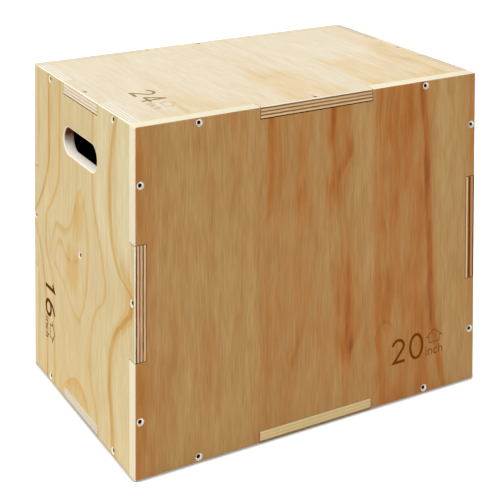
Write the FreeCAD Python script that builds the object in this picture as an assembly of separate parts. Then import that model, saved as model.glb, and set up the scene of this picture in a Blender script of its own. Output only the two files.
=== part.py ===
"""Plyometric jump box: six tabbed plywood panels, an inner brace and the screws that hold them.

Millimetres. The origin is the middle of the underside, +X runs along the length to the right end,
+Y along the depth to the back and +Z up.
"""
import FreeCAD, Part
import math
import os

from FreeCAD import Placement, Rotation, Vector

# The box
length = 609.6          # outside, along X
depth = 406.4           # outside, along Y
height = 508.0          # outside, along Z
edge_round = 3.0        # sanded round on the outer edges

# The plywood
ply = 18.0              # six outer panels
brace_ply = 18.0        # inner brace

# Tabs, each in the middle of an edge, and the notches that take them
tab_along_length = 202.0
tab_along_depth = 138.0
tab_along_height = 169.0
tab_end_gap = 0.5       # between each end of a tab and its notch

# Hand holes, slots with full round ends
hand_hole_width = 134.0
hand_hole_height = 42.0
hand_hole_cover = 16.8  # wood between the hole and the tips of the screws above it
hand_hole_round = 2.0   # eased rim, both faces
thickest_round = 0.45   # most of the plywood's thickness that one rim's round may take

# Countersunk screws with a hexagon socket
screw_length = 50.0
screw_sink = 0.8        # head below the face of the wood
head_diameter = 10.0
head_rim = 0.6          # straight side of the head above its cone
shoulder_diameter = 7.0
core_diameter = 5.0
point_length = 4.0
socket_width = 5.0      # across flats
socket_depth = 3.0

# Clearances of a screw in its hole
head_gap = 0.3
shoulder_gap = 0.15
core_gap = 0.05
tip_gap = 1.0
hole_overrun = 1.0      # how far a hole's cutter stands out of the wood

touching = 0.1          # places closer than this are the same place

half_length = length / 2
half_depth = depth / 2
half_height = height / 2
inner_half_length = half_length - ply
inner_half_depth = half_depth - ply

# A screw stands in the middle of the edge that it enters, and midway along the wood beside a tab
edge_middle = ply / 2
screw_along_length = (tab_along_length / 2 + half_length) / 2
screw_along_height = (tab_along_height / 2 + half_height) / 2
screw_along_depth = (tab_along_depth / 2 + inner_half_depth) / 2


def block(x_span, y_span, z_span):
    """A box between two limits on each axis."""
    sizes = [high - low for low, high in (x_span, y_span, z_span)]
    return Part.makeBox(*sizes, Vector(x_span[0], y_span[0], z_span[0]))


def centred(width):
    """Limits of a span of this width about the middle."""
    return (-width / 2, width / 2)


def centred_up(width):
    """Limits of a span of this width about half the box's height."""
    return (half_height - width / 2, half_height + width / 2)


def rim(half_size, side):
    """Limits of one panel thickness at the outside, on the negative or positive side."""
    return tuple(sorted((side * half_size, side * (half_size - ply))))


def rim_up(side):
    """Limits of one panel thickness at the underside or at the top."""
    return (height - ply, height) if side > 0 else (0, ply)


def rounded_envelope():
    """The whole box with its twelve edges rounded, which trims every panel."""
    whole = block(centred(length), centred(depth), (0, height))
    return whole.makeFillet(edge_round, whole.Edges)


def wall_panel(side):
    """Front (side -1) or back (side +1): full size, with a notch in each edge."""
    y_span = rim(half_depth, side)
    panel = block(centred(length), y_span, (0, height))
    notches = [block(centred(tab_along_length), y_span, rim_up(up)) for up in (-1, 1)]
    notches += [block(rim(half_length, end), y_span, centred_up(tab_along_height)) for end in (-1, 1)]
    return panel.cut(notches)


def hand_hole(x_span):
    """A slot with round ends through an end panel, below the top edge."""
    radius = hand_hole_height / 2
    reach = hand_hole_width / 2 - radius
    centre_z = height - screw_sink - screw_length - hand_hole_cover - radius
    middle = block(x_span, centred(2 * reach), (centre_z - radius, centre_z + radius))
    thickness = x_span[1] - x_span[0]
    ends = [Part.makeCylinder(radius, thickness, Vector(x_span[0], y, centre_z), Vector(1, 0, 0))
            for y in (-reach, reach)]
    return middle.fuse(ends).removeSplitter()


def ease_hand_hole(panel, hole):
    """Round both rims of the hand hole, within what the panel's thickness allows."""
    around = hole.BoundBox
    around.enlarge(touching)
    rims = [edge for edge in panel.Edges
            if edge.BoundBox.XLength < touching and around.isInside(edge.BoundBox)]
    return panel.makeFillet(min(hand_hole_round, thickest_round * ply), rims)


def end_panel(side):
    """Left (side -1) or right (side +1): between front and back, tabbed through both."""
    x_span = rim(half_length, side)
    panel = block(x_span, centred(2 * inner_half_depth), (0, height))
    tabs = [block(x_span, rim(half_depth, wall), centred_up(tab_along_height - 2 * tab_end_gap))
            for wall in (-1, 1)]
    notches = [block(x_span, centred(tab_along_depth), rim_up(up)) for up in (-1, 1)]
    hole = hand_hole(x_span)
    panel = panel.fuse(tabs).removeSplitter().cut(notches + [hole])
    return ease_hand_hole(panel, hole)


def deck_panel(up):
    """Bottom (up -1) or top (up +1): inside the four walls, with a tab through each."""
    z_span = rim_up(up)
    panel = block(centred(2 * inner_half_length), centred(2 * inner_half_depth), z_span)
    tabs = []
    for side in (-1, 1):
        tabs.append(block(centred(tab_along_length - 2 * tab_end_gap), rim(half_depth, side), z_span))
        tabs.append(block(rim(half_length, side), centred(tab_along_depth - 2 * tab_end_gap), z_span))
    return panel.fuse(tabs).removeSplitter()


def center_brace():
    """A plate at half height, from wall to wall, that carries the large faces when the box lies down."""
    return block(centred(2 * inner_half_length), centred(2 * inner_half_depth), centred_up(brace_ply))


def turned(profile):
    """A solid of revolution about Z from (radius, height) points that start and end on the axis."""
    points = [Vector(radius, 0, z) for radius, z in profile]
    face = Part.Face(Part.makePolygon(points + points[:1]))
    return face.revolve(Vector(), Vector(0, 0, 1), 360)


def screw():
    """A screw along +Z, with the face of the wood at Z = 0 and its thread left plain."""
    head = head_diameter / 2
    shoulder = shoulder_diameter / 2
    core = core_diameter / 2
    cone_top = screw_sink + head_rim
    cone_end = cone_top + head - shoulder
    shoulder_end = ply - tip_gap
    tip = screw_sink + screw_length
    body = turned([(0, screw_sink), (head, screw_sink), (head, cone_top), (shoulder, cone_end),
                   (shoulder, shoulder_end), (core, shoulder_end), (core, tip - point_length), (0, tip)])
    corner = socket_width / 2 / math.cos(math.pi / 6)
    corners = [Vector(corner * math.cos(k * math.pi / 3), corner * math.sin(k * math.pi / 3), screw_sink)
               for k in range(6)]
    socket = Part.Face(Part.makePolygon(corners + corners[:1])).extrude(Vector(0, 0, socket_depth))
    return body.cut(socket)


def screw_hole():
    """The hole for one screw: its cone seats the head, then it passes the shoulder and grips the core."""
    head = head_diameter / 2 + head_gap
    shoulder = shoulder_diameter / 2 + shoulder_gap
    core = core_diameter / 2 + core_gap
    cone_foot = screw_sink + head_rim + head_diameter / 2
    bottom = screw_sink + screw_length + tip_gap
    return turned([(0, -hole_overrun), (head, -hole_overrun), (head, cone_foot - head),
                   (shoulder, cone_foot - shoulder), (shoulder, ply),
                   (core, ply), (core, bottom), (0, bottom)])


def screw_places():
    """Name, point on the outer face and inward direction of every screw."""
    places = []
    for wall, side in (("front", -1), ("back", 1)):
        inward = Vector(0, -side, 0)
        for end, end_side in (("left", -1), ("right", 1)):
            for level, up in (("bottom", -1), ("top", 1)):
                edge_z = half_height + up * (half_height - edge_middle)
                beside_deck = Vector(end_side * screw_along_length, side * half_depth, edge_z)
                places.append((f"{wall}_{level}_edge_screw_{end}", beside_deck, inward))
                beside_end = Vector(end_side * (half_length - edge_middle), side * half_depth,
                                    half_height + up * screw_along_height)
                places.append((f"{wall}_{end}_edge_screw_{level}", beside_end, inward))
    for end, side in (("left", -1), ("right", 1)):
        inward = Vector(-side, 0, 0)
        face = side * half_length
        places.append((f"{end}_brace_screw", Vector(face, 0, half_height), inward))
        for wall, wall_side in (("front", -1), ("back", 1)):
            tab = Vector(face, wall_side * (half_depth - edge_middle), half_height)
            places.append((f"{end}_tab_screw_{wall}", tab, inward))
            for level, up in (("bottom", -1), ("top", 1)):
                edge_z = half_height + up * (half_height - edge_middle)
                beside_deck = Vector(face, wall_side * screw_along_depth, edge_z)
                places.append((f"{end}_{level}_edge_screw_{wall}", beside_deck, inward))
    for level, up in (("bottom", -1), ("top", 1)):
        inward = Vector(0, 0, -up)
        face = half_height + up * half_height
        for wall, end, side in (("front", "left", -1), ("back", "right", 1)):
            in_wall = Vector(0, side * (half_depth - edge_middle), face)
            places.append((f"{level}_tab_screw_{wall}", in_wall, inward))
            in_end = Vector(side * (half_length - edge_middle), 0, face)
            places.append((f"{level}_tab_screw_{end}", in_end, inward))
    return places


def placed(shape, point, inward):
    """A copy of a shape drawn along +Z, moved to a point of the box and turned inward."""
    copy = shape.copy()
    copy.Placement = Placement(point, Rotation(Vector(0, 0, 1), inward))
    return copy


def panels():
    """The seven pieces of plywood by name, before their screw holes."""
    envelope = rounded_envelope()
    outer = {
        "front_panel": wall_panel(-1),
        "back_panel": wall_panel(1),
        "left_end_panel": end_panel(-1),
        "right_end_panel": end_panel(1),
        "top_panel": deck_panel(1),
        "bottom_panel": deck_panel(-1),
    }
    pieces = {name: shape.common(envelope) for name, shape in outer.items()}
    pieces["center_brace"] = center_brace()
    return pieces


def main():
    places = screw_places()
    hole = screw_hole()
    holes = [placed(hole, point, inward) for name, point, inward in places]
    pieces = {name: shape.cut(holes) for name, shape in panels().items()}
    one_screw = screw()
    for name, point, inward in places:
        pieces[name] = placed(one_screw, point, inward)
    os.makedirs("parts", exist_ok=True)
    for name, shape in pieces.items():
        solids = shape.Solids
        print(f"{name}: {len(solids)} solid, {shape.Volume / 1000:.2f} cm3, valid {shape.isValid()}")
        solids[0].exportStep(f"parts/{name}.step")


main()
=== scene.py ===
import math

import bmesh
import bpy
from mathutils import Color, Matrix, Vector
from mathutils.geometry import delaunay_2d_cdt


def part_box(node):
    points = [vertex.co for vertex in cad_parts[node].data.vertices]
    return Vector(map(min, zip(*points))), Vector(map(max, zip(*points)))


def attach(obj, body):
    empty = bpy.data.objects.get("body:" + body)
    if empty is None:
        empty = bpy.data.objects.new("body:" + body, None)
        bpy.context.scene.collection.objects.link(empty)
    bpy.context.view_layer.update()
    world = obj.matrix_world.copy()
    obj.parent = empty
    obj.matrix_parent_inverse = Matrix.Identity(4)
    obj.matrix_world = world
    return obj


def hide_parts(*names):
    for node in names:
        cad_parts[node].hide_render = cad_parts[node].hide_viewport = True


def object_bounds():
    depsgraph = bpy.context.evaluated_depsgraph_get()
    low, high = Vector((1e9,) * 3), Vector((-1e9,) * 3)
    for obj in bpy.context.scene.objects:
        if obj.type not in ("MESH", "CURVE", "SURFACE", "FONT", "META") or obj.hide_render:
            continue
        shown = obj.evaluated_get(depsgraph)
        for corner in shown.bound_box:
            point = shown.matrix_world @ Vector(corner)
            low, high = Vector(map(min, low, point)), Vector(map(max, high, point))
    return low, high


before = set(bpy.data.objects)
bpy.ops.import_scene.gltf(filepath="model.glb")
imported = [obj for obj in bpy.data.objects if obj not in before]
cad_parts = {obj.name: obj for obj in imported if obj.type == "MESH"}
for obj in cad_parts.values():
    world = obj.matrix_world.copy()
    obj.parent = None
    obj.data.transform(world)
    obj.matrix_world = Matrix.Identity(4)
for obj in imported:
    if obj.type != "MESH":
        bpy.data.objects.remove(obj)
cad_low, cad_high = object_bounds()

# Lengths are in millimetres unless a name says otherwise
MM = 0.001

# The box and its sheets, from the frame
BOX_MIDDLE = (cad_low + cad_high) / 2 / MM
BOX_HALF = (cad_high - cad_low) / 2 / MM
sheet_low, sheet_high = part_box("front_panel")
PLY = round((sheet_high.y - sheet_low.y) / MM, 3)
brace_low, brace_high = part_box("center_brace")
BRACE_SUNK = (cad_high.z - brace_high.z) / MM

# Tabs, each in the middle of a side, and their play at the ends and inside: at the sides, under the
# top deck and over the bottom one
TAB_ALONG_LENGTH = 202.0
TAB_ALONG_DEPTH = 138.0
TAB_ALONG_HEIGHT = 169.0
TAB_PLAY = 0.9
NOTCH_PLAY = 0.9
TOP_PLAY = 1.6
BOTTOM_PLAY = 0.4

# How the edges are sanded, and how far a face's veneer reaches into the round, further on a wall's right,
# where the veneer's darker colour paints the round's shade
EDGE_ROUND = 3.0
JOINT_EASE = 0.4
ROUND_STEPS = 6
CORNER_STEPS = 4
FACE_WEAR = 0.35
RIGHT_SHADE_REACH = 1.5

# The plies of one sheet from its outer face to its inner one, as (thickness, brownness), how brown one is
# that lies back, how far it does, and the height of a step between two plies
PLIES = ((2.0, 0.0), (2.2, 1.0), (3.2, 0.1), (1.8, 0.95), (3.3, 0.1), (2.0, 1.0), (3.5, 0.0))
BROWN_PLY = 0.5
BROWN_PLY_BACK = 0.12
PLY_STEP = 0.1

# Hand holes, slots with full round ends
HAND_HOLE_WIDTH = 134.0
HAND_HOLE_HEIGHT = 42.0
HAND_HOLE_MIDDLE = 419.4    # above the floor
HAND_HOLE_ROUND = 2.0
HAND_HOLE_STEPS = 20

# Mesh making
SHARP_EDGE = math.radians(35)   # steeper edges stay sharp
SAME_PLACE = 1e-4               # points closer than this are one
NO_LENGTH = 1e-5                # what is shorter counts as nothing
DEPTH_DIGITS = 4                # to which the depths of two rings have to differ

# Screws
screw_low, screw_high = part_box("front_left_edge_screw_top")
SCREW_SINK = (screw_low.y - cad_low.y) / MM
SCREW_SIZES = {
    "Head Diameter": (screw_high.x - screw_low.x) / MM,
    "Head Rim": 0.6,
    "Head Bevel": 0.25,
    "Head Dish": 0.5,
    "Shoulder Diameter": 7.0,
    "Shoulder Length": 14.1,
    "Core Diameter": 5.0,
    "Screw Length": (screw_high.y - screw_low.y) / MM,
    "Point Length": 4.0,
    "Socket Width": 5.0,
    "Socket Mouth": 0.5,
    "Socket Depth": 3.0,
    "Thread Depth": 0.7,
}
THREAD_TURNS = 12.0
THREAD_STEPS = 14           # points in one turn
THREAD_SIDES = 4
HEXAGON_STEP = math.pi / 3
SCREW_SIDES = 24
SPIN_SEED = 5

# The countersunk hole of a screw, as (depth, radius)
SCREW_HOLE = ((0.0, 5.9), (0.2, 5.75), (1.2, 5.3), (1.5, 5.2), (3.1, 3.65), (PLY, 3.65))
SCREW_HOLE_STEPS = 32

# Height marks, burnt into three faces: the figures, the corner that they start from, whether they are
# turned, and how heavy their lines are
MARKS = {
    "front": ("20", (139.4, -194.1), False, 0.98),
    "left": ("16", (-149.5, -86.5), True, 1.32),
    "top": ("24", (-243.0, -40.0), True, 1.0),
}
MARK_DEPTH = 0.5
FIGURE_LINE = 4.6
LETTER_LINE = 2.0
ARROW_LINE = 1.5

# Studio
WHITE = (1.0, 1.0, 1.0, 1.0)
SKY_LEVEL = 0.4
KEY_LEVEL = 0.7
KEY_DIRECTION = Vector((-0.46, -0.05, 0.89))
KEY_SPREAD = 40.0           # degrees
FLOOR_HALF = 9000.0
FLOOR_DROP = 0.2
FLOOR_GREY = (0.8, 0.8, 0.8, 1.0)
FLOOR_GLOW = 0.7
# The contact shadow is painted: near the box, ambient occlusion darkens the floor's lit colour and its glow
PAINTED_CONTACT_REACH = 14.0        # how far the box's contact shadow spreads
PAINTED_CONTACT_LEVEL = 0.28        # what is left of the light at the contact
PAINTED_CONTACT_OPEN = (0.4, 0.95)  # open sky over which the shadow fades
CONTACT_SAMPLES = 16

# Photograph: the camera's place, its level line of sight and where that meets the picture
PHOTO_PIXELS = 500
CAMERA_EYE = (-1041.8, -1833.9, 1051.9)
CAMERA_YAW = 29.714         # degrees from +Y towards +X
CAMERA_PITCH = 2.087        # degrees down
CAMERA_ROLL = 0.168         # degrees counterclockwise
FOCAL_PIXELS = 1287.3
SIGHT_PIXEL = (255.63, -214.99)
SENSOR = 36.0


class Face:
    """A side of the box: its outward direction, and the directions across and up its sheet."""

    def __init__(self, outward, across, up):
        axes = (outward, across, up)
        self.outward, self.across, self.up = map(Vector, axes)
        reach, self.half_across, self.half_up = (BOX_HALF.dot(Vector(map(abs, axis))) for axis in axes)
        self.middle = BOX_MIDDLE + self.outward * reach

    def point(self, flat, depth):
        """Where a point of the sheet lies in the frame, in metres."""
        place = self.middle + self.across * flat[0] + self.up * flat[1] - self.outward * depth
        return place * MM

    def flat(self, place):
        """The (across, up) of a place in the frame, given in metres."""
        offset = place / MM - self.middle
        return Vector((offset.dot(self.across), offset.dot(self.up)))

    def on_rim(self, first, second, within=JOINT_EASE):
        """Whether the side between two points of the sheet lies on an outer edge of the box."""
        limits = (self.half_across, self.half_up)
        return any(min(abs(first[k]), abs(second[k])) > limits[k] - within for k in (0, 1))


FACES = {
    "front": Face((0, -1, 0), (1, 0, 0), (0, 0, 1)),
    "back": Face((0, 1, 0), (-1, 0, 0), (0, 0, 1)),
    "left": Face((-1, 0, 0), (0, -1, 0), (0, 0, 1)),
    "right": Face((1, 0, 0), (0, 1, 0), (0, 0, 1)),
    "top": Face((0, 0, 1), (1, 0, 0), (0, 1, 0)),
    "bottom": Face((0, 0, -1), (-1, 0, 0), (0, 1, 0)),
}


# Node writing

RED_SHADE = 0.8             # how strongly a shade works on red and on blue, with green at 1
BLUE_SHADE = 1.5
BUMP_HEIGHT = 0.3


def colour(red, green, blue):
    """A colour given as it looks on screen, 0 to 255, as the light that a shader takes."""
    return (*Color((red / 255, green / 255, blue / 255)).from_srgb_to_scene_linear(), 1.0)


def blend(first, second, part):
    """A colour part of the way from one to another."""
    return tuple(a + (b - a) * part for a, b in zip(first, second))


def operator(operation, turned=False):
    """A method that adds a Math node, with its two values turned round if the signal comes second."""
    def method(self, other):
        first, second = (other, self) if turned else (self, other)
        return self.math(operation, first, second)
    return method


class Signal:
    """A socket of a node tree. Arithmetic on it adds Math nodes, and node() adds any other node."""

    def __init__(self, tree, socket=None):
        self.tree = tree
        self.socket = socket

    def node(self, kind, settings=None, sockets=None, output=0):
        made = self.tree.nodes.new(kind)
        for name, value in (settings or {}).items():
            setattr(made, name, value)
        self.feed(made, sockets or {})
        return Signal(self.tree, made.outputs[output] if made.outputs else None)

    def feed(self, node, sockets):
        """Set a node's sockets or link them to signals, a list of them where a socket takes several."""
        for name, value in sockets.items():
            for item in value if isinstance(value, list) else [value]:
                if isinstance(item, Signal):
                    self.tree.links.new(item.socket, node.inputs[name])
                else:
                    node.inputs[name].default_value = item

    def other(self, output):
        """Another output of the same node."""
        return Signal(self.tree, self.socket.node.outputs[output])

    def math(self, operation, first, second=0.0):
        return self.node("ShaderNodeMath", {"operation": operation}, {0: first, 1: second})

    __add__ = __radd__ = operator("ADD")
    __sub__ = operator("SUBTRACT")
    __rsub__ = operator("SUBTRACT", turned=True)
    __mul__ = __rmul__ = operator("MULTIPLY")
    __truediv__ = operator("DIVIDE")
    __rtruediv__ = operator("DIVIDE", turned=True)
    most = operator("MAXIMUM")

    def __abs__(self):
        return self.math("ABSOLUTE", self)

    def __or__(self, other):
        return self.node("FunctionNodeBooleanMath", {"operation": "OR"}, {0: self, 1: other})

    def rise(self, low, high):
        """0 below low, 1 above high, smooth between."""
        sockets = {"Value": self, "From Min": low, "From Max": high}
        return self.node("ShaderNodeMapRange", {"interpolation_type": "SMOOTHSTEP"}, sockets)

    def within(self, low, full, ebb, high):
        """1 from full to ebb, 0 below low and above high, smooth between."""
        return self.rise(low, full) * (1 - self.rise(ebb, high))

    def along(self, direction):
        """How far a place given in metres lies along a direction, in millimetres."""
        return self.node("ShaderNodeVectorMath", {"operation": "DOT_PRODUCT"},
                         {0: self, 1: direction / MM}, output="Value")

    def vector(self, x=0.0, y=0.0, z=0.0):
        return self.node("ShaderNodeCombineXYZ", {}, {"X": x, "Y": y, "Z": z})

    def stretched(self, factor):
        """A vector or a colour, each part times the same part of another."""
        return self.node("ShaderNodeVectorMath", {"operation": "MULTIPLY"}, {0: self, 1: factor})

    def noise(self, across, up, depth, detail=2.0, roughness=0.5):
        """Noise from -1 to 1 at three coordinates, each counted in lumps."""
        place = self.vector(across, up, depth)
        sockets = {"Vector": place, "Scale": 1.0, "Detail": detail, "Roughness": roughness}
        return self.node("ShaderNodeTexNoise", {}, sockets) * 2 - 1

    def ramp(self, stops, interpolation="LINEAR"):
        """A colour from stops, as (place, colour)."""
        made = self.node("ShaderNodeValToRGB", {}, {"Fac": self})
        ramp = made.socket.node.color_ramp
        ramp.interpolation = interpolation
        for place, shade in stops[2:]:
            ramp.elements.new(place)
        for element, (place, shade) in zip(ramp.elements, sorted(stops)):
            element.position, element.color = place, shade
        return made

    def curve(self, points):
        """A level from a smooth curve through points."""
        made = self.node("ShaderNodeFloatCurve", {}, {"Value": self})
        mapping = made.socket.node.mapping
        line = mapping.curves[0].points
        points = sorted(points)
        for point in points[2:]:
            line.new(*point)
        for bend, point in zip(line, points):
            bend.location, bend.handle_type = point, "AUTO_CLAMPED"
        mapping.update()
        return made

    def mix(self, first, second):
        """One colour at 0 and another at 1."""
        return self.node("ShaderNodeMix", {"data_type": "RGBA"}, {0: self, 6: first, 7: second}, output=2)

    def shaded(self, tint):
        """A colour made lighter or darker by this signal, blue the most, as grey light does."""
        return tint.stretched(self.vector(1 + self * RED_SHADE, 1 + self, 1 + self * BLUE_SHADE))

    def bump(self, strength):
        """The normal of a surface that this signal makes uneven."""
        sockets = {"Strength": strength, "Distance": BUMP_HEIGHT * MM, "Height": self}
        return self.node("ShaderNodeBump", {}, sockets)


def new_material(name, look, *choices):
    """A material whose surface shader has the values that a look makes of some choices."""
    material = bpy.data.materials.new(name)
    material.use_nodes = True
    start = Signal(material.node_tree)
    start.feed(start.tree.nodes["Principled BSDF"], look(start, *choices))
    return material


def emptied(owner):
    """The first signal of a material's or a world's cleared node tree."""
    owner.use_nodes = True
    owner.node_tree.nodes.clear()
    return Signal(owner.node_tree)


def add_object(name, data):
    """A new object in the scene."""
    made = bpy.data.objects.new(name, data)
    bpy.context.scene.collection.objects.link(made)
    return made


def sheet_place(start, face):
    """Signals for a point of a sheet: across, up from its middle and depth below its outer face."""
    place = start.node("ShaderNodeTexCoord", output="Object")
    axes = (face.across, face.up, -face.outward)
    return [place.along(axis) - face.middle.dot(axis) for axis in axes]


# Wood

FIGURE_REACH = 320.0        # how far from the middle a streak's points may lie
UPWARD_FADE = 0.4           # part of a streak's length over which it fades at each end
SIDEWAYS_FADE = 0.15
LONGEST_FADE = 60.0


def share(length):
    """A length between plus and minus FIGURE_REACH, as a share from 0 to 1."""
    return length / (2 * FIGURE_REACH) + 0.5


def streak_warmth(across, up, ragged, line, width, fade_low, fade_high, strength, sideways=False):
    """How much a streak of the figure warms a place of the sheet, where ragged is how far up its ends take
    that place to be. It runs through (along, aside) points, up the sheet or, if sideways, across it."""
    along, aside = (across, up) if sideways else (up, across)
    middle = share(along).curve([(share(level), share(place)) for level, place in line])
    beside = aside - (middle - 0.5) * (2 * FIGURE_REACH)
    half = width / 2
    body = beside.within(-half - fade_low, -half, half, half + fade_high)
    levels = [level for level, place in line]
    low, high = min(levels), max(levels)
    fade = (high - low) * SIDEWAYS_FADE if sideways else min((high - low) * UPWARD_FADE, LONGEST_FADE)
    reach = along if sideways else ragged
    ends = reach.within(low - fade / 2, low + fade / 2, high - fade / 2, high + fade / 2)
    return body * ends * strength


PALE_END = [(0.0, colour(223, 208, 161)), (0.35, colour(212, 188, 134)), (0.6, colour(208, 171, 97)),
            (0.8, colour(206, 164, 82)), (1.0, colour(192, 142, 56))]
WARM_WALL = [(0.0, colour(208, 168, 107)), (0.35, colour(196, 145, 82)), (0.55, colour(193, 129, 59)),
             (0.75, colour(185, 110, 32)), (1.0, colour(154, 78, 8))]
CREAM_DECK = [(0.0, colour(235, 225, 202)), (0.35, colour(233, 219, 190)), (0.7, colour(230, 205, 162)),
              (1.0, colour(214, 180, 128))]

# Streaks of the figures, as streak_warmth takes them
SIDEWAYS = True
END_FIGURE = [
    # Four long lines, the outer ones bent out to the edges
    ([(280, -138), (204, -134), (129, -133), (69, -153), (24, -183), (4, -200), (-6, -198),
      (-46, -173), (-91, -158), (-146, -143), (-280, -142)], 2.5, 2, 7, 0.54),
    ([(280, -84), (94, -90), (49, -118), (14, -148), (-26, -150), (-56, -138), (-76, -118),
      (-280, -110)], 2.5, 2, 7, 0.44),
    ([(280, 57), (144, 50), (110, 52), (80, 62), (14, 92), (-16, 100), (-41, 90), (-61, 67), (-96, 48),
      (-136, 42), (-176, 44), (-211, 62), (-280, 72)], 2.5, 7, 2, 0.32),
    ([(280, 144), (204, 125), (154, 115), (104, 116), (54, 127), (24, 152), (4, 194), (-11, 192),
      (-36, 172), (-66, 137), (-106, 117), (-146, 115), (-196, 122), (-280, 131)], 6, 4, 7, 0.46),
    ([(40, 168), (8, 190), (-10, 190), (-44, 166), (-64, 144)], 16, 16, 10, 0.36),
    ([(280, 100), (144, 84), (110, 84), (60, 100), (26, 122)], 28, 14, 14, -0.2),
    ([(-60, 106), (-96, 84), (-136, 80), (-196, 92), (-280, 102)], 28, 14, 14, -0.1),
    ([(-76, 134), (-110, 118), (-150, 116), (-200, 123), (-280, 131)], 12, 6, 8, 0.16),
    ([(280, 166), (110, 162), (60, 166)], 34, 8, 14, -0.26),
    ([(-70, 170), (-110, 160), (-280, 166)], 30, 10, 14, -0.12),
    ([(280, -112), (70, -118)], 30, 12, 12, 0.12),
    ([(-110, 0), (-280, 0)], 150, 40, 40, 0.07),
    # Faint lines beside the back edge
    ([(280, -183), (85, -184)], 4, 4, 8, 0.22),
    ([(-90, -184), (-280, -186)], 8, 5, 9, 0.18),
    # The long loop round the middle
    ([(98, 8), (80, 20), (54, 28), (14, 32), (-26, 29), (-60, 22), (-90, 8), (-104, -2)], 2, 9, 3, 0.26),
    ([(-126, -34), (-113, 0), (-96, 19), (-68, 19), (-43, 31), (-33, 44), (-18, 74), (-4, 98),
      (4, 102)], 2, 14, 2, 0.3, SIDEWAYS),
    ([(-110, -50), (-80, -66), (-58, -79), (-33, -98), (-12, -107), (0, -106)], 2, 3, 10, 0.2,
     SIDEWAYS),
    ([(92, 0), (70, -4), (20, -12)], 26, 10, 12, 0.22),
    # The hook inside it and its brown heart
    ([(-106, -32), (-98, -14), (-86, -5), (-75, -5), (-62, -18), (-45, -22), (-25, -19), (-8, -10)],
     2, 12, 2, 0.28, SIDEWAYS),
    ([(0, -28), (-64, -32)], 40, 18, 6, 0.26),
    ([(70, -12), (42, -16)], 6, 10, 10, 0.3),
    # The arch above the lower notch
    ([(-62, -238), (-40, -224), (-12, -216), (14, -222), (34, -238)], 14, 10, 8, 0.13, SIDEWAYS),
    ([(-66, -232), (-50, -219), (-33, -209), (-12, -203), (8, -206), (22, -216), (34, -232)],
     2, 14, 2, 0.3, SIDEWAYS),
]
WALL_FIGURE = [
    # The long streak right of the middle, with its knee and its dark lower half
    ([(280, 34), (210, 36), (182, 39), (165, 41), (145, 40), (128, 36), (90, 36)], 36, 6, 12, 0.22),
    ([(192, 60), (174, 63), (160, 60), (148, 53), (137, 45), (120, 37)], 4, 16, 4, 0.22),
    ([(280, 26), (190, 26), (158, 28)], 2, 3, 8, 0.2),
    ([(150, 33), (125, 32), (104, 33), (84, 40), (60, 45), (-30, 52)], 9, 7, 9, 0.2),
    ([(-10, 44), (-50, 48), (-80, 51), (-110, 53), (-135, 53), (-162, 51)], 20, 16, 9, 0.34),
    ([(-60, 30), (-100, 26), (-150, 34)], 44, 16, 22, 0.14),
    ([(-78, 70), (-100, 76), (-118, 77), (-138, 70), (-150, 62)], 4, 12, 3, 0.1),
    ([(-130, 56), (-200, 52), (-280, 50)], 8, 7, 7, 0.16),
    # The broad warm band and the lines in it
    ([(280, 154), (0, 153), (-100, 152), (-280, 160)], 84, 8, 14, 0.15),
    ([(-30, 147), (-122, 146)], 70, 12, 14, 0.14),
    ([(280, 180), (100, 188), (-20, 190)], 24, 18, 12, 0.1),
    ([(-90, 214), (-180, 212), (-280, 222)], 46, 20, 10, 0.12),
    ([(250, 160), (190, 164)], 22, 14, 16, 0.1),
    ([(280, 140), (200, 130), (175, 138), (140, 147), (100, 148), (60, 142), (20, 140)], 4, 9, 9, 0.14),
    ([(280, 118), (120, 119), (30, 117)], 3, 4, 10, 0.14),
    ([(-122, 113), (-150, 112), (-175, 116), (-200, 118), (-280, 124)], 4, 4, 9, 0.2),
    ([(106, -146), (114, -130), (124, -121), (134, -124), (142, -136)], 3, 3, 6, 0.12, SIDEWAYS),
    # The red line beside it
    ([(280, 197), (200, 201), (160, 205), (105, 207), (60, 210), (0, 213), (-46, 215), (-100, 217),
      (-150, 221), (-190, 229), (-225, 237), (-280, 245)], 5, 6, 7, 0.36),
    ([(180, 204), (90, 208), (-110, 216)], 8, 6, 7, 0.12),
    # Left half
    ([(280, -84), (140, -85), (100, -84), (80, -91)], 3, 6, 9, 0.2),
    ([(280, -50), (60, -55)], 56, 16, 26, 0.09),
    ([(136, -30), (98, -30)], 8, 10, 8, 0.12),
    ([(-34, -78), (-280, -75)], 46, 24, 26, 0.06),
    ([(-104, -34), (-120, -36), (-140, -44), (-156, -46)], 3, 5, 5, 0.26),
    ([(280, -148), (200, -148)], 2, 5, 6, 0.14),
    ([(-34, -195), (-186, -192)], 36, 5, 16, 0.06),
    ([(280, -299), (106, -299)], 4, 4, 7, 0.14),
    ([(-100, -288), (-280, -292)], 22, 8, 24, 0.12),
    # Right edge
    ([(280, 298), (118, 298)], 6, 6, 4, 0.2),
    # Olive bands
    ([(280, 82), (60, 84), (-40, 90)], 28, 8, 10, -0.1),
    ([(280, 250), (0, 252), (-280, 276)], 46, 6, 16, -0.16),
    ([(280, -190), (-280, -190)], 130, 34, 44, -0.1),
    ([(70, -145), (-280, -145)], 46, 22, 22, -0.08),
]
DECK_FIGURE = [
    ([(50, 272), (-60, 268), (-230, 262)], 26, 26, 18, 0.34),
    ([(-10, 216), (-90, 212), (-230, 204)], 30, 26, 26, 0.26),
    ([(-20, 142), (-110, 146), (-230, 136)], 36, 26, 30, 0.28),
    ([(-40, 4), (-110, 4), (-230, 16)], 64, 30, 36, 0.26),
    ([(30, -4), (-80, 0)], 20, 16, 20, 0.1),
    ([(-80, -186), (-230, -178)], 50, 22, 30, 0.14),
    ([(-112, -205), (-230, -204)], 3, 5, 5, 0.3),
    ([(-150, 0), (-230, 0)], 520, 30, 30, 0.1),
    ([(104, -194), (60, -199)], 3, 5, 6, 0.16),
    ([(230, -165), (132, -172)], 8, 9, 9, 0.14),
    ([(230, 255), (30, 262)], 26, 16, 20, 0.12),
    ([(100, 170), (20, 190)], 70, 40, 40, -0.12),
]

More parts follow.
